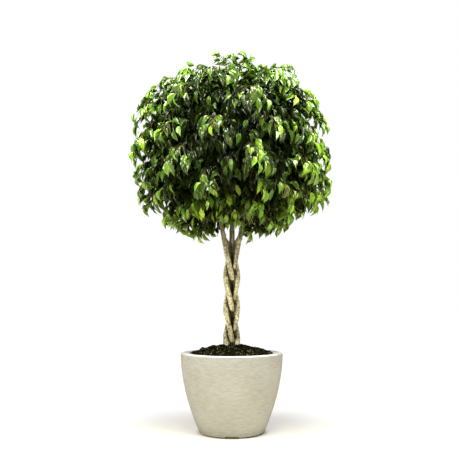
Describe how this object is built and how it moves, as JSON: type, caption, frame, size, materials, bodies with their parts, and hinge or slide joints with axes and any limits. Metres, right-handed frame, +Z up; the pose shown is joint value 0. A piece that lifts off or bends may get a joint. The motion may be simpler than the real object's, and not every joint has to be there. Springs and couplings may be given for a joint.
{
  "type": "potted weeping fig",
  "caption": "Weeping fig grown as a standard, its stems plaited into one bare trunk under a round drooping crown, in a wide pale round planter filled with soil.",
  "frame": {"origin": "middle of the planter's underside, on the floor", "axes": "+Z up along the planter's axis and the trunk; -Y is the front, +X the viewer's right"},
  "size_m": [0.7884, 0.8167, 1.4444],
  "materials": {
    "planter": "pale cast stone, brushed sideways while wet, matt",
    "soil": "dark crumbly bark and peat compost, damp",
    "bark": "smooth khaki bark with darker cracks and small pores",
    "leaf": "glossy green leaf with a paler midrib, on thin tan twigs"
  },
  "bodies": {
    "root": {"planter": "planter", "soil": "soil", "stem_1": "bark", "stem_2": "bark", "stem_3": "bark", "stem_4": "bark", "spray_01": "leaf", "spray_02": "leaf", "spray_03": "leaf", "spray_04": "leaf", "spray_05": "leaf", "spray_06": "leaf", "spray_07": "leaf", "spray_08": "leaf", "spray_09": "leaf", "spray_10": "leaf", "spray_11": "leaf", "spray_12": "leaf", "spray_13": "leaf", "spray_14": "leaf", "spray_15": "leaf", "spray_16": "leaf", "spray_17": "leaf", "spray_18": "leaf", "spray_19": "leaf", "spray_20": "leaf", "spray_21": "leaf", "spray_22": "leaf", "spray_23": "leaf", "spray_24": "leaf", "spray_25": "leaf", "spray_26": "leaf", "spray_27": "leaf", "spray_28": "leaf", "spray_29": "leaf", "spray_30": "leaf", "spray_31": "leaf", "spray_32": "leaf", "spray_33": "leaf", "spray_34": "leaf", "spray_35": "leaf", "spray_36": "leaf", "spray_37": "leaf", "spray_38": "leaf", "spray_39": "leaf", "spray_40": "leaf", "spray_41": "leaf", "spray_42": "leaf", "spray_43": "leaf", "spray_44": "leaf", "spray_45": "leaf", "spray_46": "leaf", "spray_47": "leaf", "spray_48": "leaf", "spray_49": "leaf", "spray_50": "leaf", "spray_51": "leaf"}
  },
  "joints": []
}
